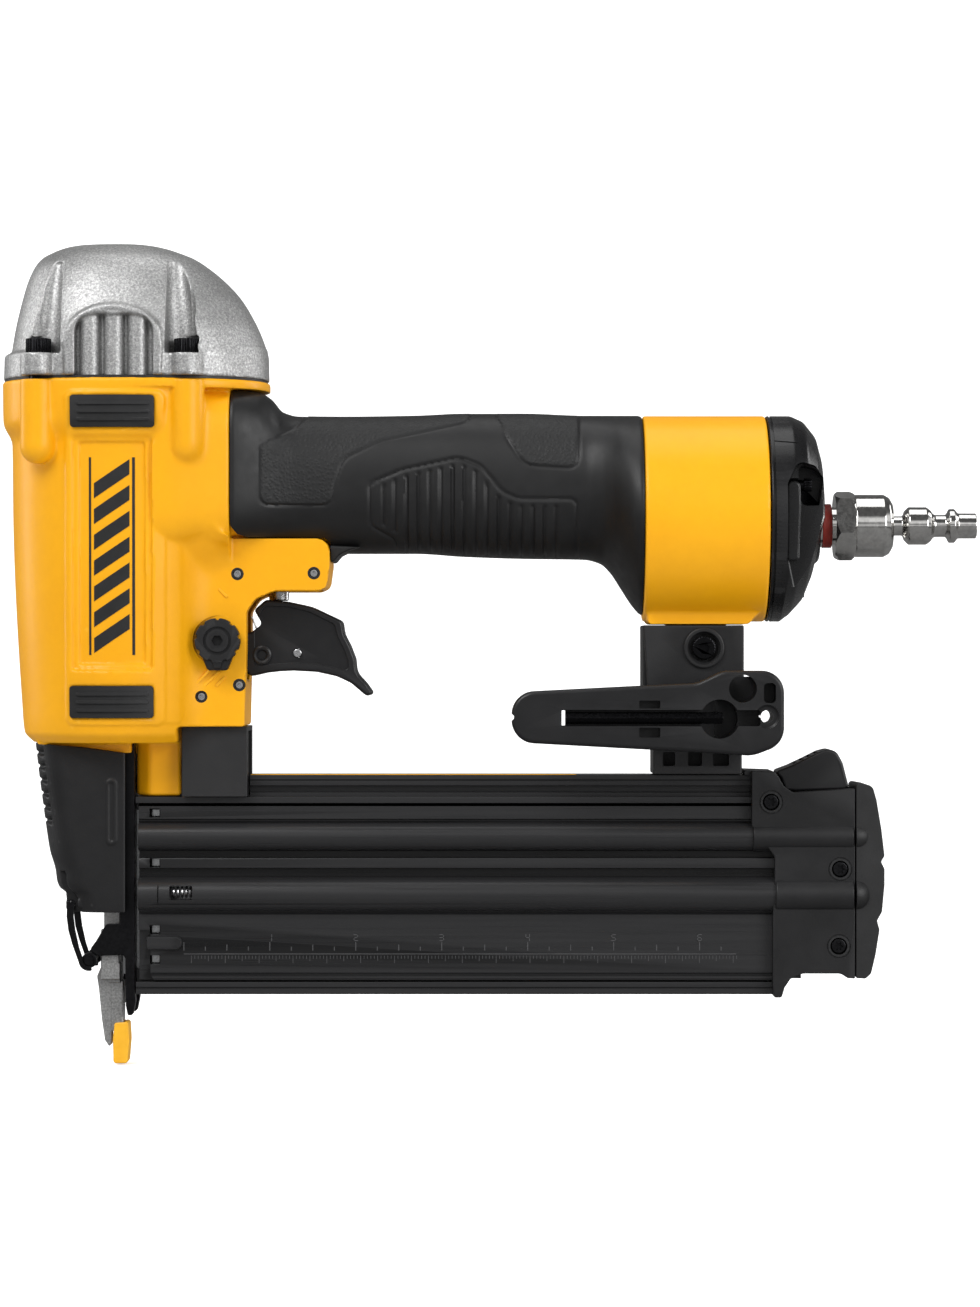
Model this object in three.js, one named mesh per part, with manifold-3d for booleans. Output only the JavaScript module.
// Pneumatic 18-gauge brad nailer, modelled as an assembly of separate pieces.
// Units are millimetres, +Z up. The drive axis is parallel to Z and the work surface is
// Z = 0. Shapes are drawn with the drive axis at x = 0 and moved by ORIGIN_X at the end,
// which puts the origin on the solid part of the soft tip, behind the nail exit.
// Front is -X. The magazine and the handle run along +X, and the open side of the
// magazine faces -Y.
import * as THREE from "three";
import { mergeVertices } from "three/addons/utils/BufferGeometryUtils.js";
import Module from "manifold-3d";

// ---- driving dimensions -------------------------------------------------
const ORIGIN_X = -1.65; // the drive axis stands this far along x from the origin
const GAP = 0.3; // general clearance between neighbouring pieces
const CAP_Z = 202; // joint plane between housing and cylinder cap
const CAP_BOTTOM = CAP_Z + 0.8; // underside of the cap, above its gasket
const PLATE_Z = CAP_Z - 1.8; // underside of the plate on top of the housing
const SCREW_SEAT_Z = 209.2; // floor of the cap screw pockets
const CAP_BORE_R = 25;
const FLOOR_Z = 104; // inside floor of the cylinder bore
const BARREL_Z = 95.5; // underside of the barrel
const WEB_Z = 100.2; // underside of the trigger bracket
const SLEEVE_R = 22; // cylinder sleeve, outside
const BORE_R = 19.6; // cylinder sleeve, inside
const CHAMBER_R = 24.2; // bore of the housing around the sleeve
const CHAMBER_LOW_R = 22.4; // the same bore near its floor
const PISTON_TOP = 204;
const PISTON_H = 8;
const BOSS = 21.7; // cap screws stand at x = +-BOSS, and a little further out in y
const SCREW_OUT = 1.6; // that extra distance in y
const LUG_Y = 16; // half width of the trigger bracket
const SLOT_Y = 9.5; // half width of the trigger slot
const GRIP_X0 = 33.97; // front end of the handle skin
const VALVE_X = 47.4; // axis of the trigger valve
const ROD_X = 31.5; // axis of the trip rod
const RES_Z = 161.81; // air reservoir axis height
const RES_R = 30.6;
const RES_X0 = 155.56;
const RES_X1 = 191.91;
const FIT_Z = 159.73; // air fitting axis height
const MAG_TOP = 85.8;
const MAG_BOT = 20.9;
const MAG_X0 = 5.5;
const RAIL_X1 = 202.5;
const TEE_X1 = 193.6; // rear end of the tee on top of the rail
const BRAD_LEN = 50.8;
const BRAD_W = 1.05;
const WRENCH_Z = 103.01; // axis height of the hex wrench
const WRENCH_Y = -31.4;
const WRENCH_BEND_X = 176.16; // where the wrench turns from x to y

// axes parallel to y, as [x, z]
const SELECTOR = [30.4, 125.5]; // selector shaft and trigger pivot
const TRIP_PIN = [53.25, 121.85]; // pivot of the trip lever in the trigger
const DOOR_PIVOT = [-3.2, 90];
const LATCH_PIVOT = [-10.1, 48];
const BAIL_PIVOT = [-8.2, 31.05];
const BAIL_WIRE = [-13.6, 47.4]; // pivot of the bail in the latch lever
const MOUNT_SCREW = [173.34, 123.35]; // screw through the rear bracket
const BUTTON_PIVOT = [205.5, 79.9]; // pivot of the magazine latch button
const ROLL_PINS = [[35.99, 145.14], [58.48, 145.37], [36.55, 112.47], [25.4, 109.03]];
const MAG_SCREWS = [[193.16, 77.92], [213.52, 58.16], [213.1, 35.44]];

// axes parallel to z, as [x, y]
const DRIVE = [0, 0];
const VALVE = [VALVE_X, 0];
const ROD = [ROD_X, 0];

// axes parallel to x, as [y, z]
const RESERVOIR = [0, RES_Z];
const FITTING = [0, FIT_Z];

// ---- finishes -------------------------------------------------------------
const YELLOW = 0xf5b31a;
const BLACK = 0x1d1d1e;
const RUBBER = 0x161617;
const STEEL = 0xb9bcc0;
const DARK = 0x2a2a2b;
const ALU = 0xc4c6c8;
const finish = {
  paint: { color: YELLOW, roughness: 0.42, metalness: 0.05 },
  tip: { color: YELLOW, roughness: 0.5 },
  pad: { color: RUBBER, roughness: 0.7 },
  rubber: { color: RUBBER, roughness: 0.6 },
  plastic: { color: BLACK, roughness: 0.5 },
  smoothPlastic: { color: BLACK, roughness: 0.45 },
  dullPlastic: { color: BLACK, roughness: 0.55 },
  seal: { color: BLACK, roughness: 0.7 },
  noseBlack: { color: BLACK, roughness: 0.45, metalness: 0.4 },
  railBlack: { color: BLACK, roughness: 0.4, metalness: 0.5 },
  coverBlack: { color: BLACK, roughness: 0.45, metalness: 0.5 },
  polished: { color: STEEL, roughness: 0.18, metalness: 1 },
  ground: { color: STEEL, roughness: 0.25, metalness: 1 },
  steel: { color: STEEL, roughness: 0.3, metalness: 1 },
  doorSteel: { color: STEEL, roughness: 0.4, metalness: 0.9 },
  footSteel: { color: STEEL, roughness: 0.45, metalness: 0.9 },
  darkScrew: { color: DARK, roughness: 0.4, metalness: 0.8 },
  darkSteel: { color: DARK, roughness: 0.35, metalness: 0.9 },
  darkLever: { color: DARK, roughness: 0.4, metalness: 0.7 },
  darkArm: { color: DARK, roughness: 0.45, metalness: 0.8 },
  darkPusher: { color: DARK, roughness: 0.4, metalness: 0.6 },
  cast: { color: 0xb4b4b2, roughness: 0.45, metalness: 0.7 },
  sleeveAlu: { color: ALU, roughness: 0.35, metalness: 0.9 },
  pistonAlu: { color: ALU, roughness: 0.4, metalness: 0.9 },
  stemAlu: { color: ALU, roughness: 0.35, metalness: 0.8 },
  amber: { color: 0xd9a53a, roughness: 0.6 },
};

// ---- small toolkit ------------------------------------------------------
const wasm = await Module();
wasm.setup();

// closed geometry to manifold: weld, drop collapsed triangles, turn faces outwards
function solid(geometry) {
  const soup = geometry.index ? geometry.toNonIndexed() : geometry;
  const bare = new THREE.BufferGeometry();
  bare.setAttribute("position", soup.getAttribute("position"));
  const welded = mergeVertices(bare, 1e-3);
  const index = welded.index.array;
  const kept = [];
  for (let i = 0; i < index.length; i += 3) {
    const [a, b, c] = index.slice(i, i + 3);
    if (a !== b && b !== c && a !== c) kept.push(a, b, c);
  }
  const build = () => new wasm.Manifold(new wasm.Mesh({
    numProp: 3,
    vertProperties: new Float32Array(welded.attributes.position.array),
    triVerts: new Uint32Array(kept),
  }));
  const body = build();
  if (body.volume() >= 0) return body;
  for (let i = 0; i < kept.length; i += 3) {
    [kept[i + 1], kept[i + 2]] = [kept[i + 2], kept[i + 1]];
  }
  return build();
}

const join = (...bodies) => bodies.reduce((a, b) => a.add(b));
const cut = (body, ...tools) => tools.reduce((a, b) => a.subtract(b), body);

const shapeOf = (points) => new THREE.Shape(points.map(([x, y]) => new THREE.Vector2(x, y)));
const extrude = (points, depth) =>
  new THREE.ExtrudeGeometry(shapeOf(points), { depth, bevelEnabled: false });
// outline in x,z pushed along y
const extY = (points, y0, y1) =>
  solid(extrude(points, y1 - y0).rotateX(Math.PI / 2).translate(0, y1, 0));
// outline in y,z pushed along x
const XYZ_TO_YZX = new THREE.Matrix4().makeBasis(
  new THREE.Vector3(0, 1, 0), new THREE.Vector3(0, 0, 1), new THREE.Vector3(1, 0, 0));
const extX = (points, x0, x1) =>
  solid(extrude(points, x1 - x0).applyMatrix4(XYZ_TO_YZX).translate(x0, 0, 0));

function box(x0, x1, y0, y1, z0, z1) {
  const block = new THREE.BoxGeometry(x1 - x0, y1 - y0, z1 - z0);
  return solid(block.translate((x0 + x1) / 2, (y0 + y1) / 2, (z0 + z1) / 2));
}
// a box and its mirror image across y = 0
const boxPair = (x0, x1, y0, y1, z0, z1) =>
  [box(x0, x1, y0, y1, z0, z1), box(x0, x1, -y1, -y0, z0, z1)];

// turn a geometry built around y onto an axis, centred on the other two coordinates
function place(geometry, axis, [a, b]) {
  if (axis === "x") return solid(geometry.rotateZ(-Math.PI / 2).translate(0, a, b));
  if (axis === "z") return solid(geometry.rotateX(Math.PI / 2).translate(a, b, 0));
  return solid(geometry.translate(a, 0, b));
}
// cylinder from one coordinate to another along an axis; a cone if endR differs
function cyl(axis, r, from, to, centre, sides, endR = r) {
  const geometry = new THREE.CylinderGeometry(endR, r, to - from, sides);
  return place(geometry.translate(0, (from + to) / 2, 0), axis, centre);
}
// profile of [radius, distance along the axis]
function lathe(profile, axis, centre, sides) {
  const points = profile.map(([r, along]) => new THREE.Vector2(r, along));
  return place(new THREE.LatheGeometry(points, sides), axis, centre);
}

// skin through rings of equal count, closed by fans
function loft(rings) {
  const n = rings[0].length;
  const last = rings[rings.length - 1];
  const coords = [];
  const tri = (a, b, c) => coords.push(...a, ...b, ...c);
  const middle = (ring) => [0, 1, 2].map((k) => ring.reduce((sum, p) => sum + p[k] / n, 0));
  for (let k = 0; k + 1 < rings.length; k++) {
    for (let i = 0; i < n; i++) {
      const j = (i + 1) % n;
      tri(rings[k][i], rings[k][j], rings[k + 1][j]);
      tri(rings[k][i], rings[k + 1][j], rings[k + 1][i]);
    }
  }
  const startMid = middle(rings[0]);
  const endMid = middle(last);
  for (let i = 0; i < n; i++) {
    const j = (i + 1) % n;
    tri(startMid, rings[0][j], rings[0][i]);
    tri(endMid, last[i], last[j]);
  }
  const geometry = new THREE.BufferGeometry();
  return solid(geometry.setAttribute("position", new THREE.Float32BufferAttribute(coords, 3)));
}

// points of a unit superellipse; a higher exponent is squarer
const superellipse = (n, exponent) => Array.from({ length: n }, (_, i) => {
  const angle = (i / n) * 2 * Math.PI;
  return [Math.cos(angle), Math.sin(angle)]
    .map((v) => Math.sign(v) * Math.abs(v) ** (2 / exponent));
});
// oval in the y,z plane at x
const oval = (x, top, bottom, halfWidth, exponent) => superellipse(16, exponent)
  .map(([u, v]) => [x, u * halfWidth, (top + bottom) / 2 + (v * (top - bottom)) / 2]);
// egg in the x,y plane at z, with its own reach to the front and to the rear
const egg = (z, front, rear, halfWidth, exponent) => superellipse(24, exponent)
  .map(([u, v]) => [u * (u > 0 ? rear : front), v * halfWidth, z]);

// polygon with rounded corners: points [a, b, own radius if any]
function rounded(points, radius = 0, steps = 4) {
  const n = points.length;
  return points.flatMap(([x, y, own], i) => {
    const r = own ?? radius;
    if (!r) return [[x, y]];
    const corner = new THREE.Vector2(x, y);
    const toward = (p) => new THREE.Vector2(p[0], p[1]).sub(corner);
    const back = toward(points[(i + n - 1) % n]);
    const ahead = toward(points[(i + 1) % n]);
    const limit = Math.min(back.length(), ahead.length()) * 0.48;
    back.normalize();
    ahead.normalize();
    const half = Math.acos(Math.max(-1, Math.min(1, back.dot(ahead)))) / 2;
    const reach = Math.min(r / Math.tan(half), limit);
    const a = back.multiplyScalar(reach).add(corner);
    const b = ahead.multiplyScalar(reach).add(corner);
    return Array.from({ length: steps + 1 }, (_, k) => {
      const f = k / steps;
      const g = 1 - f;
      return [g * g * a.x + 2 * f * g * x + f * f * b.x, g * g * a.y + 2 * f * g * y + f * f * b.y];
    });
  });
}

// round wire wound along the x or z axis
function spring({ axis, centre: [a, b], radius, wire, from, to, turns, perTurn }) {
  const steps = turns * perTurn;
  const path = Array.from({ length: steps + 1 }, (_, i) => {
    const angle = (i / perTurn) * 2 * Math.PI;
    const along = from + wire + ((to - from - 2 * wire) * i) / steps;
    const u = a + radius * Math.cos(angle);
    const v = b + radius * Math.sin(angle);
    return axis === "x" ? new THREE.Vector3(along, u, v) : new THREE.Vector3(u, v, along);
  });
  const section = Array.from({ length: 5 }, (_, i) => {
    const angle = (i / 5) * 2 * Math.PI;
    return [wire * Math.cos(angle), wire * Math.sin(angle)];
  });
  const extrudePath = new THREE.CatmullRomCurve3(path);
  return solid(new THREE.ExtrudeGeometry(shapeOf(section),
    { steps, bevelEnabled: false, extrudePath }));
}

// socket head cap screw, head towards +dir of the seat
function capScrew({ axis, centre, seat, dir, headR, headH, shankR, shankL, keyR }) {
  const rod = (r, a, b, sides) =>
    cyl(axis, r, Math.min(a, b), Math.max(a, b), centre, sides);
  return cut(
    join(rod(headR, seat, seat + dir * headH, 14),
      rod(shankR, seat + dir * 0.01, seat - dir * shankL, 10)),
    rod(keyR, seat + dir * headH * 0.4, seat + dir * (headH + 1), 6));
}

const group = new THREE.Group();
function add(name, body, look) {
  const data = body.getMesh();
  const geometry = new THREE.BufferGeometry();
  const positions = new Float32Array(data.vertProperties);
  geometry.setAttribute("position", new THREE.BufferAttribute(positions, 3));
  geometry.setIndex(new THREE.BufferAttribute(new Uint32Array(data.triVerts), 1));
  geometry.translate(ORIGIN_X, 0, 0);
  geometry.computeVertexNormals();
  const mesh = new THREE.Mesh(geometry, new THREE.MeshStandardMaterial(look));
  mesh.name = name;
  group.add(mesh);
}

// ---- outer skins shared by housing and grip ------------------------------
// stations of the handle: x, top, bottom, half width, squareness
const HANDLE = [
  [25.33, 199.6, 153.2, 26, 3.0], [GRIP_X0, 199.6, 153.2, 24.5, 3.0],
  [42.32, 198.6, 153.2, 21.5, 2.8], [45.3, 197.28, 153.0, 20.2, 2.7],
  [48.87, 193.4, 152.6, 19.0, 2.6], [53.64, 192.21, 152.0, 18.0, 2.5],
  [66.75, 192.21, 151.38, 17.3, 2.4], [88.21, 192.51, 151.38, 17.0, 2.4],
  [102.51, 193.1, 150.49, 17.2, 2.4], [120.39, 193.1, 149.89, 17.6, 2.4],
  [138.27, 192.51, 149.6, 18.4, 2.3], [143.04, 192.51, 148.4, 20.2, 2.2],
  [146.02, 192.51, 145.72, 22.4, 2.15], [149, 192.51, 141.25, 25.6, 2.1],
  [152.28, 192.51, 136.19, 28.6, 2.0], [RES_X0, 192.51, 132.31, 30.2, 2.0],
];
const handleSkin = (inset, stations) => loft(stations.map(
  ([x, top, bottom, w, e]) => oval(x, top - inset, bottom + inset, w - inset, e)));

// side outline (x, z, radius) of the web behind the barrel and the trigger bracket
const WEB = rounded([
  [0, WEB_Z], [38.14, WEB_Z], [38.74, 125.76], [38.74, 134.1, 2], [41.12, 137.68, 3],
  [46.49, 140.06, 4], [59.6, 140.06], [62.28, 141.25, 3], [63.18, 147.81, 3],
  [62.88, 155.56, 4], [GRIP_X0, 155.56], [GRIP_X0, 200], [0, 200],
]);

// stations of the barrel: z, front reach, rear reach, half width, squareness
const BARREL = [
  [BARREL_Z, 25.5, 25.5, 24, 2], [98.5, 28.2, 28.2, 27, 2], [106, 28.9, 28.9, 28, 2],
  [160, 31.6, 31, 29.4, 2], [184, 31.9, 31.9, 29.8, 2], [190, 34.4, 32.4, 30.6, 2.3],
  [PLATE_Z, 34.5, 33, 31, 2.35],
];
const barrelSkin = (offset = 0) => loft(BARREL.map(
  ([z, front, rear, w, e]) => egg(z, front + offset, rear + offset, w + offset, e)));

// cap screw places, in the order of the screw names
const CORNERS = [[-1, -1], [1, -1], [-1, 1], [1, 1]];
const atCorners = (outward, make) =>
  CORNERS.map(([i, j]) => make([i * BOSS, j * (BOSS + outward)]));
const screwHoles = atCorners(SCREW_OUT, (at) => cyl("z", 2.7, 181, 230, at, 8));

// ---- housing --------------------------------------------------------------
// rectangles on the -Y flank: x0, x1, z0, z1
const LABEL = [-11.88, 12.55, 116.35, 185.27];
const PAD_UPPER = [-11.77, 12.64, 187.54, 196.84];
const PAD_LOWER = [-12.27, 11.89, 102.96, 112.27];
const rectangle = ([x0, x1, z0, z1], grow = 0) => [
  [x0 - grow, z1 + grow], [x1 + grow, z1 + grow], [x1 + grow, z0 - grow], [x0 - grow, z0 - grow],
];
const flankRecess = (outline, depth) => extY(outline, -45, 0).subtract(barrelSkin(-depth));

const barrel = cut(barrelSkin(), box(18.4, 60, -60, 60, 80, WEB_Z));
const topPlate = loft([PLATE_Z, CAP_Z].map((z) => egg(z, 34.5, 44.8, 31, 2.35)));
const screwBosses = atCorners(2.6, (at) => join(
  cyl("z", 6, 180, 200.5, at, 12),
  lathe([[0, 176], [4.2, 177.2], [6, 180.1], [0, 180.1]], "z", at, 12)));
const noseLug = extY(
  rounded([[5.4, 80.16], [17.88, 80.16], [17.88, 103], [5.4, 103]], 1, 2), -8.5, 8.5);
const rearLug = extY(rounded([
  [156.75, 137.68], [189.83, 137.68], [189.83, 134.1], [186.55, 130.38, 1.5],
  [156.45, 130.38, 1.5],
], 0, 3), -13, 13);
const TONGUE = { x0: 163.3, x1: 179.99, y: 5 }; // enters the magazine mount
const rearTongue = box(TONGUE.x0, TONGUE.x1, -TONGUE.y, TONGUE.y, 117, 133);
add("housing", cut(
  join(barrel, topPlate, ...screwBosses, extY(WEB, -LUG_Y, LUG_Y), noseLug,
    handleSkin(2.5, HANDLE), cyl("x", RES_R, RES_X0, RES_X1, RESERVOIR, 28),
    rearLug, rearTongue),
  cyl("z", CHAMBER_LOW_R, FLOOR_Z, 116, DRIVE, 24),
  cyl("z", CHAMBER_R, 115, 210, DRIVE, 24),
  ...screwHoles,
  cyl("x", 12, 20, RES_X0 + 6, [0, 172.5], 14), // air passage in the handle
  cyl("x", 27.4, RES_X0 + 3.5, RES_X1 + 5, RESERVOIR, 24),
  cyl("z", 6.9, 138, 165, VALVE, 14), // trigger valve bore
  box(26, 45, -SLOT_Y, SLOT_Y, 114, 143.3), // trigger slot, front part
  box(38, 60.5, -SLOT_Y, SLOT_Y, 134, 143.3), // trigger slot, rear part
  cyl("z", 2.4, 90, 120, DRIVE, 10), // driver passage
  cyl("z", 2.2, 98, 116, ROD, 10), // trip rod passage
  cyl("y", 2.35, -20, 20, SELECTOR, 12),
  ...ROLL_PINS.map((at) => cyl("y", 1.8, -20, 20, at, 10)),
  cyl("y", 3, -6, 6, MOUNT_SCREW, 10),
  cyl("y", 7.4, -40, -LUG_Y, SELECTOR, 18), // room for the selector knob
  flankRecess(rounded(rectangle(LABEL), 1.6, 2), 1),
  flankRecess(rectangle(PAD_UPPER, GAP), 0.8),
  flankRecess(rectangle(PAD_LOWER, GAP), 0.8),
), finish.paint);

// rubber pads that follow the barrel skin
const pad = (area) => barrelSkin(1.1)
  .intersect(extY(rounded(rectangle(area), 1.4, 3), -45, -5))
  .subtract(barrelSkin(-0.5));
add("pad_upper", pad(PAD_UPPER), finish.pad);
add("pad_lower", pad(PAD_LOWER), finish.pad);

// ---- grip -------------------------------------------------------------------
// side outline (x, z) of the space the trigger bracket takes out of the sleeve
const BRACKET_SPACE = [
  [27.97, 155.8], [27.97, 100], [65.56, 100], [63.28, 147.81],
  [63.18, 154.56], [61.39, 155.91], [35.97, 155.91], [32.97, 157.06],
];
const gripStations = HANDLE.slice(1);
const shiftX = ([x, ...rest], dx) => [x + dx, ...rest];
// the cavity runs 1 mm past both ends of the sleeve
const gripCavity = handleSkin(2.2, [
  shiftX(gripStations[0], -1), ...gripStations, shiftX(gripStations.at(-1), 1)]);
add("grip_sleeve", cut(
  handleSkin(0, gripStations), gripCavity, extY(BRACKET_SPACE, -40, 40),
  box(-50, GRIP_X0 + GAP, -60, 60, 90, 260), box(RES_X0 - GAP, 300, -60, 60, 90, 260),
  extY(WEB.map((point) => shiftX(point, 0.35)), -LUG_Y - GAP, LUG_Y + GAP),
  cyl("z", 33.5, 90, 260, DRIVE, 24), // room for the barrel
  cyl("z", 7.2, 130, 168, VALVE, 14)), finish.rubber);

// ---- end cap and air fitting --------------------------------------------------
const END_FACE_X = 196.68; // bottom of the fitting and screw holes
const endCapScrews = [0, 1, 2].map((k) => {
  const angle = 0.6 + k * 2.0944;
  return [21.5 * Math.cos(angle), RES_Z + 21.5 * Math.sin(angle)];
});
const endCapSkin = lathe([
  [0, RES_X1 + GAP], [RES_R, RES_X1 + GAP], [RES_R, 199.06], [29, 201.75], [26.3, 204.43],
  [22.5, 206.51], [17, 208], [9, 208.6], [0, 208.6],
], "x", RESERVOIR, 24);
add("end_cap", cut(endCapSkin,
  cyl("x", 26.8, RES_X1 - 1, 199.66, RESERVOIR, 20),
  cyl("x", 6.6, END_FACE_X, 215, FITTING, 14),
  box(202.64, 206.22, -32, -19, 165.99, 178.8), // notch in the -Y rim
  ...endCapScrews.map((at) => cyl("x", 2.2, END_FACE_X, 215, at, 8))), finish.plastic);
endCapScrews.forEach((centre, k) => add(`end_cap_screw_${k + 1}`, capScrew({
  axis: "x", centre, seat: 205.92, dir: 1,
  headR: 1.9, headH: 2.6, shankR: 1.5, shankL: 7, keyR: 1.1,
}), finish.darkScrew));

const HEX_X0 = 212.77; // hexagon of the swivel, front face
const HEX_X1 = 218.73;
const COLLAR_X1 = 227.67;
const SEAT_X = 219.92; // floor of the ball socket
const swivel = join(
  cyl("x", 6.3, 202.64, HEX_X0 + 0.1, FITTING, 18),
  cyl("x", 10.4, HEX_X0, HEX_X1, FITTING, 6),
  cyl("x", 9.3, HEX_X1 - 0.1, COLLAR_X1, FITTING, 20),
  lathe([[0, COLLAR_X1 - 0.1], [9.3, COLLAR_X1 - 0.1], [8.6, 228.86], [6.6, 230.06], [0, 230.06]],
    "x", FITTING, 20));
add("swivel_body", cut(swivel,
  cyl("x", 3.2, 201.15, 220.52, FITTING, 12),
  cyl("x", 7, SEAT_X, 227.08, FITTING, 18),
  cyl("x", 4.2, 226.48, 230.95, FITTING, 14, 6.2)), finish.polished);
add("swivel_seat", cut(
  cyl("x", 6.6, SEAT_X + 0.3, SEAT_X + 2.6, FITTING, 18),
  cyl("x", 5.3, 219.03, 223.5, FITTING, 14)), finish.steel);

const BALL_X = 224.69; // centre of the ball on the plug stem
add("plug_stem", cut(lathe([
  [0, BALL_X - 4.6], [2.4, BALL_X - 4.4], [4.2, BALL_X - 2.6], [4.9, BALL_X],
  [4.2, BALL_X + 2.4], [2.9, BALL_X + 3.9], [2.9, 233.04], [4.4, 233.63], [5.55, 234.82],
  [5.55, 240.49], [4.6, 241.38], [3.4, 242.57], [3.4, 246.15], [5.05, 247.34],
  [5.05, 248.23], [3.7, 249.43], [3.7, 255.09], [0, 255.09],
], "x", FITTING, 14), cyl("x", 2.1, BALL_X - 6, 262, FITTING, 10)), finish.polished);

// ---- cylinder cap with head valve ------------------------------------------
// stations of the cap: z, front reach, rear reach, half width, squareness
const CAP = [
  [CAP_BOTTOM, 34.2, 44.4, 31, 2.35], [210.09, 34, 44, 30.8, 2.3],
  [210.54, 31.8, 43.8, 30.2, 2.25], [222.31, 29.8, 39.4, 28.2, 2.2],
  [227.08, 28.6, 36.3, 26.6, 2.2], [231.84, 27.2, 32.2, 24.6, 2.2],
  [236.61, 25.2, 26, 21.5, 2.2], [239.89, 21.8, 19.6, 17, 2.2],
  [242.12, 17.2, 13.5, 12, 2.2], [243.17, 12, 8.5, 8, 2.2],
];
const capTowers = atCorners(2.4, (at) => cyl("z", 5.6, CAP_BOTTOM, SCREW_SEAT_Z, at, 12));
const capPockets = atCorners(2.4, (at) => cyl("z", 4.6, SCREW_SEAT_Z, 240, at, 10));
add("cylinder_cap", cut(
  join(loft(CAP.map((station) => egg(...station))), ...capTowers),
  ...capPockets, ...screwHoles,
  cyl("z", CAP_BORE_R, CAP_Z, 222, DRIVE, 22),
  cyl("z", 12, 221, 231, DRIVE, 14), // spring pocket
  box(20, 38, -12, 12, CAP_Z, 212)), finish.cast); // passage to the rear
atCorners(SCREW_OUT, (centre) => capScrew({
  axis: "z", centre, seat: SCREW_SEAT_Z + 0.2, dir: 1,
  headR: 3.6, headH: 3.6, shankR: 2.4, shankL: 26, keyR: 1.9,
})).forEach((screw, k) => add(`cap_screw_${k + 1}`, screw, finish.darkScrew));
add("cap_gasket", cut(
  loft([CAP_Z + 0.1, CAP_Z + 0.7].map((z) => egg(z, 33.9, 44.1, 30.7, 2.35))),
  cyl("z", CAP_BORE_R, 200, 205, DRIVE, 22), ...screwHoles), finish.seal);
add("head_valve", lathe([
  [0, 206.6], [21, 206.6], [24.6, 207.8], [24.6, 214], [23.4, 214.4], [9, 214.4],
  [9, 217], [0, 217],
], "z", DRIVE, 20), finish.plastic);
add("head_valve_spring", spring({
  axis: "z", centre: DRIVE, radius: 7.4, wire: 0.7, from: 217.2, to: 230.6, turns: 4, perTurn: 10,
}), finish.steel);

// ---- cylinder and piston ------------------------------------------------------
const sleevePorts = Array.from({ length: 6 }, (_, k) => {
  const port = new THREE.CylinderGeometry(1.6, 1.6, 10, 8).rotateZ(Math.PI / 2);
  return solid(port.translate(21, 0, 130).rotateZ((k * Math.PI) / 3));
});
add("cylinder_sleeve", cut(
  cyl("z", SLEEVE_R, FLOOR_Z + GAP, 206.3, DRIVE, 24),
  cyl("z", BORE_R, 100, 210, DRIVE, 24), ...sleevePorts), finish.sleeveAlu);
add("bumper", lathe([
  [3, FLOOR_Z + 0.5], [19.2, FLOOR_Z + 0.5], [18.6, 110], [16.5, 115.6], [3, 115.6],
  [3, FLOOR_Z + 0.5],
], "z", DRIVE, 20), finish.amber);
const ringGroove = cut(
  cyl("z", 25, 199, 202, DRIVE, 20), cyl("z", 17.3, 198, 203, DRIVE, 20));
add("piston", cut(cyl("z", 19.1, PISTON_TOP - PISTON_H, PISTON_TOP, DRIVE, 24),
  ringGroove, cyl("z", 2.6, PISTON_TOP - 5, PISTON_TOP + 1, DRIVE, 10),
  cyl("z", 1.9, 190, PISTON_TOP - 4, DRIVE, 10)), finish.pistonAlu);
add("piston_ring", lathe(
  [[17.5, 199.25], [19.4, 199.25], [19.4, 201.75], [17.5, 201.75], [17.5, 199.25]],
  "z", DRIVE, 24), finish.seal);
add("driver_blade", join(
  box(-0.55, 0.55, -1.6, 1.6, 81.5, 196), cyl("z", 1.6, 193.5, 203, DRIVE, 8)), finish.ground);

// ---- trigger group -----------------------------------------------------------
add("trigger_valve_body", cut(
  cyl("z", 6.6, 143.6, 163, VALVE, 14), cyl("z", 2.5, 140, 158, VALVE, 10)), finish.plastic);
add("trigger_valve_stem", join(
  cyl("z", 2.2, 138.2, 152, VALVE, 10), cyl("z", 3.1, 137.4, 140.4, VALVE, 12)), finish.stemAlu);

// side outlines: x, z
const TRIGGER = rounded([
  [39.36, 114.95], [43.86, 115.99], [48.1, 116.46], [52.24, 116.64], [59.05, 116.26],
  [64.97, 114.95], [69.11, 113], [73.85, 108.97], [75.63, 109.86], [73.55, 113],
  [70.71, 115.99], [70.3, 120.22], [68.82, 124.04], [67.04, 127.51], [66.45, 131.35],
  [57.27, 135.68], [50.64, 137.1], [43.86, 137.69], [40.4, 134.61], [42.77, 130.47],
  [39.22, 127.8], [34.57, 128.74], [30.4, 129.54], [26.82, 127.54], [26.22, 125.46],
  [26.82, 123.37], [30.4, 121.38], [34.57, 119.5],
]);
const TRIGGER_HOLLOW = [
  [23.84, 140.66], [64.67, 140.66], [64.97, 129.87], [67.04, 123.36], [68.52, 118.03],
  [64.97, 116.7], [59.05, 117.8], [52.24, 118.15], [43.86, 117.56], [35.76, 115.62],
  [23.84, 115.62],
];
const TRIP_LEVER = rounded([
  [30.2, 116.3], [38, 117.2], [48, 118.6], [55.2, 119.6], [56.2, 124.2], [52.6, 125.6],
  [50.2, 135.6], [46.2, 135.6], [43.6, 125], [38, 119.4], [30.2, 117.9],
], 0.5, 2);
add("trigger", cut(
  join(extY(TRIGGER, -8, 8), cyl("y", 4.1, -8, 8, SELECTOR, 12)),
  extY(TRIGGER_HOLLOW, -6.1, 6.1),
  cyl("y", 2.25, -10, 10, SELECTOR, 12),
  cyl("y", 1.35, -10, 10, TRIP_PIN, 8)), finish.smoothPlastic);
add("trip_lever", cut(
  extY(TRIP_LEVER, -4, 4), cyl("y", 1.4, -10, 10, TRIP_PIN, 8)), finish.darkLever);
add("trip_lever_pin", cyl("y", 1.2, -8.2, 8.2, TRIP_PIN, 8), finish.ground);

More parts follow.
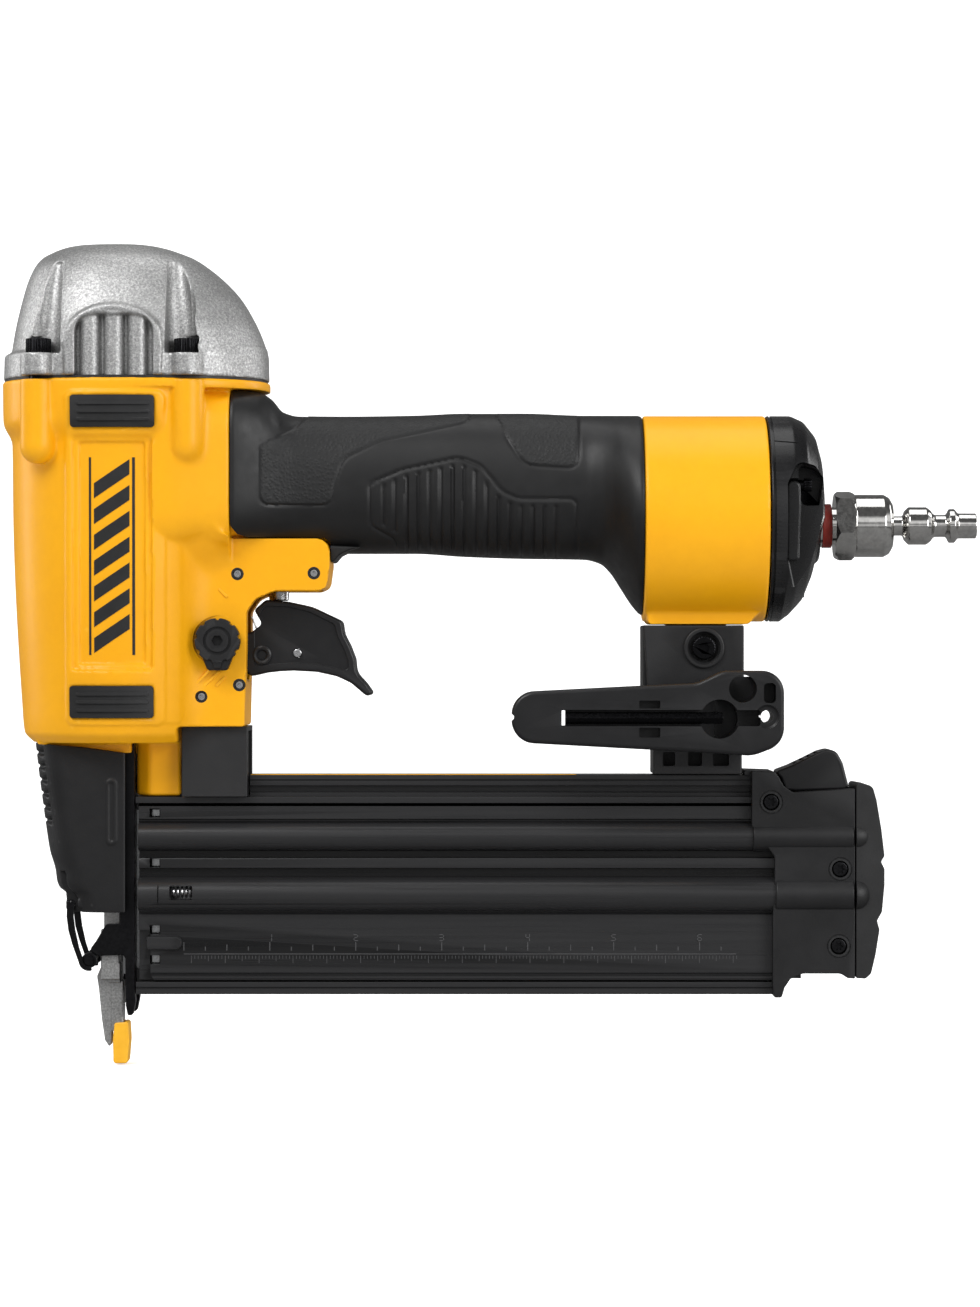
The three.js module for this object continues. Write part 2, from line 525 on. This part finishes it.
const [selectorX, selectorZ] = SELECTOR;
const KNOB_TIP_Z = 117.04; // lower end of the pointer
const knobPointer = rounded([
  [selectorX - 5.2, selectorZ - 3], [selectorX + 5.2, selectorZ - 3],
  [selectorX + 2.3, KNOB_TIP_Z], [selectorX - 2.3, KNOB_TIP_Z],
], 0.8, 2);
add("selector_knob", cut(join(
  cyl("y", 6.5, -22, -16.4, SELECTOR, 14), extY(knobPointer, -21.6, -16.4),
  cyl("y", 2.05, -17, 17.4, SELECTOR, 12), cyl("y", 3.6, 16.4, 18.2, SELECTOR, 12)),
cyl("y", 2, -24, -20.2, SELECTOR, 6)), finish.plastic);
ROLL_PINS.forEach((at, k) =>
  add(`roll_pin_${k + 1}`, cyl("y", 1.45, -15.6, 15.6, at, 8), finish.steel));

// ---- nose frame and jam door ----------------------------------------------------
// side outlines: x, z
const NOSE_BAR = rounded([
  [0.9, 95.2], [0.9, 33.5], [2.36, 31.6], [2.51, 17.68], [3.1, 14.72], [4.58, 14.72],
  [5.47, 19.16], [5.1, 21.46], [5.1, 95.2],
], 0.3, 1);
const NOSE_EAR = rounded([
  [3.19, 32.56], [-5.68, 32.26], [-8.34, 33.45], [-6.27, 36.7], [-3.31, 41.73], [3.19, 41.73],
], 0.3, 2);
const noseBody = cut(
  join(extY(NOSE_BAR, -9, 9), extY(NOSE_EAR, -9, 9), cyl("y", 2.2, -9, 9, BAIL_PIVOT, 10),
    ...boxPair(-5, 1.5, 4.9, 6.9, 86.5, 93.2)), // door hinge lugs
  box(-14, 0.6, -7, 7, 20, 60), // room between the ears
  box(-1, 8, -0.85, 0.85, 22, 81), // brad slot
  box(-1, 0.95, -1.9, 1.9, 10, 97), // half of the drive channel
  box(-10, 0.6, -7, 7, 0, 33), box(-10, 8, -4.8, 4.8, 0, 21.4)); // room for the foot
add("nose_frame", join(noseBody, cyl("y", 1.1, -7, 7, DOOR_PIVOT, 8),
  cyl("y", 1.3, -11.2, 11.2, BAIL_PIVOT, 10)), finish.noseBlack);
add("nose_door", cut(
  join(box(-4.4, 0.6, -4.3, 4.3, 40.2, 88),
    cyl("y", 2.6, -4.3, 4.3, DOOR_PIVOT, 12), cyl("y", 2.3, -4.3, 4.3, LATCH_PIVOT, 12),
    box(LATCH_PIVOT[0], -3, -4.3, 4.3, 45.6, 50.4)),
  box(-0.8, 2, -2, 2, 30, 95), // other half of the drive channel
  cyl("y", 1.3, -10, 10, DOOR_PIVOT, 8), cyl("y", 1.6, -10, 10, LATCH_PIVOT, 8),
  box(0.58, 3, -10, 10, 30, 95)), finish.doorSteel);

// ---- latch lever and bail ---------------------------------------------------------
// the lever's shroud is u-shaped in plan, round to the front and deeper at the top
function uRing(z, front, halfWidth, rear) {
  const reach = Math.min(halfWidth, 13) * 0.72;
  const bow = Array.from({ length: 7 }, (_, i) => {
    const angle = -Math.PI / 2 - (i / 6) * Math.PI;
    return [front + reach + reach * Math.cos(angle), halfWidth * Math.sin(angle), z];
  });
  return [[rear, -halfWidth, z], ...bow, [rear, halfWidth, z]];
}
// stations of the shroud: z, front x
const SHROUD = [
  [45.4, -14.6], [49.8, -15.5], [52.5, -18.18], [57.5, -19.07], [63.2, -20.86],
  [77, -22.77], [95.2, -25.03],
];
const shroudOuter = loft(SHROUD.map(([z, front]) => uRing(z, front, 14, 2.7)));
const shroudInner = loft([[40, -14.6], ...SHROUD.slice(1, -1), [100, -25.03]]
  .map(([z, front]) => uRing(z, front + 2, 12, 4)));
const shroud = cut(shroudOuter, shroudInner,
  extY([[-30, 95.4], [-24, 94.6], [4, 92.2], [4, 100], [-30, 100]], -20, 20), // sloped top
  ...boxPair(-30, -10, 9, 11.4, 40, 57.5), // bail slots
  box(-30, -5, -4.7, 4.7, 40, 51.8));
const EYE_WEB = [
  [-14.9, 47.6], [-11.3, 47.6], [-11.3, 51], [-13.5, 60], [-20, 60], [-17.4, 53], [-15.2, 51],
];
const eyeLimit = shroudOuter.add(box(-15.2, -8, -9, 9, 40, 55));
const eye = (y0, y1) =>
  join(cyl("y", 1.9, y0, y1, BAIL_WIRE, 10), extY(EYE_WEB, y0, y1)).intersect(eyeLimit);
add("latch_lever", cut(
  join(shroud, eye(4.9, 8.7), eye(-8.7, -4.9)), cyl("y", 1.15, -9.2, 9.2, BAIL_WIRE, 8),
).add(cyl("y", 1.3, -12.5, 12.5, LATCH_PIVOT, 8)), finish.plastic);

// arc around the bail pivot, angles in degrees
const bailArc = (r, start, end, steps) => Array.from({ length: steps + 1 }, (_, i) => {
  const angle = ((start + ((end - start) * i) / steps) * Math.PI) / 180;
  return [BAIL_PIVOT[0] + r * Math.cos(angle), BAIL_PIVOT[1] + r * Math.sin(angle)];
});
const BAIL_ARM = [
  [-14.7, 48.5], [-14.8, 44], [-14.3, 40], [-13.2, 36], ...bailArc(3.1, 190, 285, 5),
  ...bailArc(1.8, 290, 172, 6), [-11.2, 35], [-12.3, 40], [-12.8, 44], [-12.6, 48.5],
];
add("latch_bail", join(extY(BAIL_ARM, 9.4, 10.8), extY(BAIL_ARM, -10.8, -9.4),
  cyl("y", 0.8, -10.8, 10.8, BAIL_WIRE, 8)), finish.darkSteel);

// ---- work contact ---------------------------------------------------------------
const FOOT_Z = 9.54; // lower end of the part of the foot inside the soft tip
const FOOT_FINGER = rounded([
  [-4.78, 30.03], [-6.56, 25.87], [-5.97, 21.71], [-5.07, 12.79], [-4.18, 6.84],
  [-2.7, 4.61], [-2.25, 6.25], [-2.25, 23.19], [-1.81, 24.68], [-1.81, 30.03],
], 0.3, 1);
add("contact_foot", cut(
  join(extY(FOOT_FINGER, -3, 3), box(-2.98, 0.6, -4.2, 4.2, 23.84, 30),
    box(-2.4, 1.3, -3.4, 3.4, FOOT_Z, 24.5), box(-5.1, 0.6, -6.4, 6.4, 25, 30),
    ...boxPair(-5.1, 0.3, 4.8, 6.4, 28, 40),
    box(-2.4, 1.2, 3, 9.4, 17.2, 22)), // bar towards the contact arm
  box(-0.95, 0.95, -1.9, 1.9, 0, 40), // driver passage
  box(0.6, 3, -0.9, 0.9, 17, 40)), finish.footSteel);

// the arm rises on the +Y side, then turns to the rear and in to the trip rod
const ARM_Z0 = 81.4;
const ARM_Z1 = 85;
add("contact_arm", cut(
  join(box(-2.4, 1.2, 9.7, 11.2, 17.2, 30), box(-2.2, 3.4, 9.7, 11.2, 29, ARM_Z1),
    box(-2.2, 33.5, 9.7, 11.2, ARM_Z0, ARM_Z1), box(29.5, 33.5, 2, 11.2, ARM_Z0, ARM_Z1),
    cyl("z", 3.4, ARM_Z0, ARM_Z1, ROD, 12)),
  cyl("z", 1.85, 80, 90, ROD, 10)), finish.darkArm);

const TIP = rounded([
  [-1.27, 11.99], [2.89, 12.43], [3.19, 6.94], [2.6, 0, 0.6], [-1.59, 0, 0.6], [-1.77, 6.94],
], 0, 2);
add("no_mar_tip", cut(extY(TIP, -4.4, 4.4),
  box(-2.7, 1.7, -3.7, 3.7, FOOT_Z - GAP, 20),
  box(-0.7, 0.7, -1.8, 1.8, -1, 20)), finish.tip); // nail exit
add("trip_rod", join(
  cyl("z", 1.5, 80.8, 112.6, ROD, 8), cyl("z", 2.6, 92.4, 93.4, ROD, 8)), finish.steel);
const wheelNotches = Array.from({ length: 10 }, (_, k) => {
  const angle = (k * Math.PI) / 5;
  return cyl("z", 0.8, 86, 93, [ROD_X + 6.3 * Math.cos(angle), 6.3 * Math.sin(angle)], 6);
});
add("depth_wheel", cut(cyl("z", 6.1, 87.2, 92.1, ROD, 18),
  ...wheelNotches, cyl("z", 1.75, 86, 93, ROD, 8)), finish.plastic);
add("contact_spring", spring({
  axis: "z", centre: ROD, radius: 2.6, wire: 0.4, from: 93.6, to: 99.5, turns: 3, perTurn: 8,
}), finish.steel);
const GUARD_TOP = WEB_Z - GAP;
const GUARD = rounded(
  [[19.39, GUARD_TOP], [38.72, GUARD_TOP], [38.72, 81.17], [19.39, 81.17]], 0.8, 2);
add("trip_guard", cut(extY(GUARD, -13.5, 13.5),
  box(16, 35.6, -11, 11.9, 79, 101),
  box(30, 45, -7.4, 7.4, 85.4, 98.8)), finish.dullPlastic); // window in the rear wall

// ---- magazine --------------------------------------------------------------------
// sections seen along x: y, z
const RAIL = [
  [-8.6, MAG_BOT], [8.6, MAG_BOT], [8.6, 22.4], [10.2, 23], [10.2, 45.6], [13.4, 48.2],
  [13.8, 50.6], [13.4, 53], [10.2, 55.6], [8.2, 56.4], [8.2, 58.6], [10.2, 59.4],
  [10.2, 63.4], [12.8, 65.2], [13, 67.2], [12.8, 69.2], [10.2, 71.2], [10.2, 79.4],
  [-9.4, 79.4], [-9.4, 77.4], [-5.6, 77.4], [-5.6, 75.4], [-4.4, 75.4], [-4.4, 77.4],
  [0.8, 77.4], [0.8, 26.4], [-4.4, 26.4], [-4.4, 28.4], [-5.6, 28.4], [-5.6, 24.6],
  [-8.6, 24.6],
];
const TEE = [
  [-6.4, 79.3], [6.4, 79.3], [6.4, 80.6], [4.8, 80.6], [4.8, 82.6], [7.4, 82.6],
  [7.4, MAG_TOP], [-7.4, MAG_TOP], [-7.4, 82.6], [-4.8, 82.6], [-4.8, 80.6], [-6.4, 80.6],
];
const COVER = [
  [-1.3, 27], [-3.9, 27], [-3.9, 28.9], [-6.1, 28.9], [-6.1, 25.2], [-9.2, 25.2],
  [-9.2, 45.41], [-12.2, 46.59], [-13.6, 48.65], [-13.8, 50.43], [-13.4, 52.49],
  [-12, 54.56], [-9.2, 55.59], [-7.6, 55.74], [-7.6, 58.1], [-9.2, 58.4], [-9.2, 61.2],
  [-7.6, 61.5], [-7.6, 63.42], [-9.2, 63.71], [-11.8, 64.6], [-12.9, 66.67],
  [-12.7, 69.03], [-11.4, 70.8], [-9.2, 71.69], [-9.2, 77], [-6.1, 77], [-6.1, 74.9],
  [-3.9, 74.9], [-3.9, 76.9], [-1.3, 76.9], [-1.3, 54.6], [-9, 54.6], [-9, 46.8],
  [-1.3, 46.8],
];
const COVER_WINDOWS = [[73, 74.8], [58.5, 61], [38, 40.5], [29.6, 32]]; // z0, z1
add("magazine_rail",
  join(extX(RAIL, MAG_X0, RAIL_X1), extX(TEE, 39.2, TEE_X1)), finish.railBlack);
add("magazine_cover", cut(extX(COVER, 6.4, 213.4),
  box(15.85, 22.34, -16, -8, 49.9, 53.14),
  ...COVER_WINDOWS.map(([z0, z1]) => box(9, 12, -12, -1, z0, z1))), finish.coverBlack);
add("pusher", join(
  box(41, 58, -8.6, -0.9, 47.2, 54.2), box(40.6, 50, -1, 0.5, 28.6, 75)), finish.darkPusher);
add("pusher_spring", spring({
  axis: "x", centre: [-5.2, 50.7], radius: 2.4, wire: 0.45, from: 58.3, to: 206,
  turns: 9, perTurn: 5,
}), finish.steel);
add("brad_strip",
  box(0.88, 40.2, -BRAD_W / 2, BRAD_W / 2, 77 - BRAD_LEN + 0.2, 76.9), finish.steel);

// ---- rear end of the magazine ----------------------------------------------------
// side outlines: x, z
const MAG_END = rounded([
  [185.36, 87.27], [193.9, 86.98], [195.38, 85.36], [196.85, 82.71], [199.5, 80.79],
  [215.99, 81.83], [217.91, 81.83], [217.91, 25.87], [215.7, 26.01], [213.64, 27.34],
  [202.45, 27.34], [198.91, 25.87], [197.14, 23.21], [196.26, 20.27], [193.9, 20.27],
  [193.61, 24.1], [193.61, 43.54], [194.2, 54.73], [194.2, 61.8], [187.43, 70.93],
  [187.43, 85.36], [185.36, 85.95],
], 0.5, 2);
const BUTTON_SPACE = [
  [195.51, 90.21], [217.71, 90.21], [217.71, 80.14], [199.95, 79.26], [196.1, 80.74],
];
const END_BUMPER = rounded([
  [218.2, 83.59], [223.06, 82.71], [224.24, 78.59], [225.71, 69.75], [226.6, 62.09],
  [225.57, 60.32], [226.6, 58.26], [226.6, 53.55], [225.86, 45.6], [224.39, 42.95],
  [225.12, 40.3], [223.95, 32.93], [222.62, 27.34], [221, 25.87], [218.2, 26.01],
], 0.5, 2);
const BUTTON = rounded([
  [196.4, 84.88], [194.62, 86.8], [199.06, 88.43], [203.8, 90.65], [207.94, 92.72],
  [210.76, 93.46], [212.98, 92.58], [214.75, 89.32], [216.53, 82.22], [215.34, 81.48],
  [200.54, 81.03], [197.58, 81.33],
], 0.5, 2);
// bulges over the ribs of rail and cover: z0, z1, outermost y, chamfer height
const BULGES = [
  [44.6, 56.4, -15.2, 2.6], [62.8, 72.6, -14.6, 2.4],
  [44.6, 56.4, 15.4, 2.6], [62.8, 72.6, 14.8, 2.4],
];
// hollows of the body and the bulges: y0, y1, z0, z1
const HOLLOWS = [
  [-9.6, 10.6, 20.5, 79.9], [-13.3, -9, 63.2, 72.2], [-14.2, -9, 45.1, 55.9],
  [9, 13.4, 63.2, 72.2], [9, 14.2, 45.1, 55.9], [-7.8, 7.8, 79, 86.2],
];
const bulge = ([z0, z1, y, chamfer]) => extX(
  [[0, z0], [y * 0.84, z0], [y, z0 + chamfer], [y, z1 - chamfer], [y * 0.84, z1], [0, z1]],
  194.2, 217.8);
add("magazine_end_cap", cut(
  join(extY(MAG_END, -11.8, 12.6), ...BULGES.map(bulge)),
  ...HOLLOWS.map((range) => box(180, 215, ...range)),
  extY(BUTTON_SPACE, -8.4, 8.4),
  ...MAG_SCREWS.map((at) => cyl("y", 2.5, -20, -10.3, at, 10)),
).add(cyl("y", 1.1, -10.9, 11.6, BUTTON_PIVOT, 8)), finish.plastic);
MAG_SCREWS.forEach((at, k) => add(`magazine_screw_${k + 1}`, cut(
  cyl("y", 2.2, -12.1, -10.6, at, 12), cyl("y", 1, -13, -11.3, at, 6)), finish.darkScrew));
add("end_bumper", extY(END_BUMPER, -13, 13.4), finish.rubber);
const [buttonX, buttonZ] = BUTTON_PIVOT;
add("latch_button", cut(
  join(extY(BUTTON, -8, 8), cyl("y", 2.1, -7, 7, BUTTON_PIVOT, 10),
    box(buttonX - 2, buttonX + 2, -7, 7, buttonZ, 84)),
  cyl("y", 1.35, -20, 20, BUTTON_PIVOT, 8)), finish.plastic);

// ---- rear bracket -----------------------------------------------------------------
// side outlines: x, z
const MOUNT = rounded([
  [155.36, 130.13], [185.13, 130.13], [185.13, 108.03], [183.95, 104.49], [184.08, 94.72],
  [184.67, 93.24], [184.67, 86.01], [158.39, 86.01], [158.39, 93.24], [159.27, 94.72],
  [159.19, 108.03], [155.36, 110.97],
], 1.2, 2);
const MOUNT_HEAD = rounded(
  [[155.36, 130.13], [185.13, 130.13], [185.13, 109.21], [156.83, 109.21]], 1.6, 2);
// recesses low on the -Y face: x0, x1
const MOUNT_RECESSES = [[161.298, 164.839], [168.674, 172.804], [176.049, 180.77]];
const mountBody = join(extY(MOUNT, -11, 11), extY(MOUNT_HEAD, -13.2, 13.2),
  cyl("y", 6, -14.2, -12, MOUNT_SCREW, 18),
).intersect(box(100, 220, -20, 20, MAG_TOP + GAP, 130.38 - GAP));
add("magazine_mount", cut(mountBody,
  box(TONGUE.x0 - 0.4, TONGUE.x1 + 0.4, -TONGUE.y - 0.4, TONGUE.y + 0.4, 116.6, 135),
  cyl("y", 4.2, -20, -10.5, MOUNT_SCREW, 14), cyl("y", 2.8, -20, 9, MOUNT_SCREW, 10),
  ...MOUNT_RECESSES.map(([x0, x1]) => box(x0, x1, -12, -6, 88.52, 92.65)),
), finish.dullPlastic);
add("bracket_screw", capScrew({
  axis: "y", centre: MOUNT_SCREW, seat: -10.8, dir: -1,
  headR: 3.4, headH: 3.2, shankR: 2.5, shankL: 19, keyR: 1.5,
}), finish.darkSteel);

// ---- belt hook and wrench -----------------------------------------------------------
const HOOK_Y0 = -33; // outer face of the hook plate
const HOOK_Y1 = -28.6; // inner face of the hook plate
const HOOK_BACK = -14.7; // end of the block that stands off the bracket
// side outlines: x, z
const HOOK = rounded([
  [116.36, 106.49], [118.97, 109.98], [121.87, 110.67], [153.81, 112.41], [170.06, 113.17],
  [177.03, 116.07], [184.58, 116.77], [191.54, 116.65], [195.03, 114.04], [195.43, 111.14],
  [195.43, 100.69], [193.29, 96.33], [186.32, 92.27], [182.84, 92.85], [157.29, 93.72],
  [147.42, 94.3], [121.87, 96.04], [117.81, 98.94], [116.36, 100.69], [118.1, 103.59],
], 0.8, 2);
const HOOK_BLOCK = rounded([
  [176.15, 114.59], [191.89, 115.17], [194.52, 111.09], [193.64, 99.43], [186.64, 94.77],
  [176.15, 95.35],
], 1.5, 2);
// room for the wrench, with half height h
const wrenchRoom = (x0, x1, y0, y1, h) => box(x0, x1, y0, y1, WRENCH_Z - h, WRENCH_Z + h);
add("belt_hook", cut(
  join(extY(HOOK, HOOK_Y0, HOOK_Y1), extY(HOOK_BLOCK, HOOK_Y1 - 1, HOOK_BACK)),
  wrenchRoom(131.16, 174.71, -40, HOOK_Y1 - 0.5, 2.4),
  cyl("y", 5.6, -40, -29.2, [176.86, 102.72], 14),
  wrenchRoom(176.74, 188.64, -40, -30.6, 2.3),
  cyl("y", 1.9, -40, 0, [190.67, 103.41], 10),
  cyl("y", 3.4, -40, -31.8, [190.67, 103.41], 12),
  cyl("y", 4, -40, -30.5, [183.59, 111.54], 12),
  box(189.51, 193, -40, -30.5, 107.65, 112.88),
  box(153.51, 159.61, -40, -31.5, 97.78, 100.11),
  box(153.51, 159.61, -40, -31.5, 105.91, 107.94),
  wrenchRoom(WRENCH_BEND_X - 2.2, WRENCH_BEND_X + 2.2, -30, -17, 2.3)), finish.plastic);
add("hex_wrench", join(
  cyl("x", 2, 131.45, WRENCH_BEND_X + 1.4, [WRENCH_Y, WRENCH_Z], 6),
  cyl("y", 2, WRENCH_Y, -18.5, [WRENCH_BEND_X, WRENCH_Z], 6)), finish.steel);

export default group;
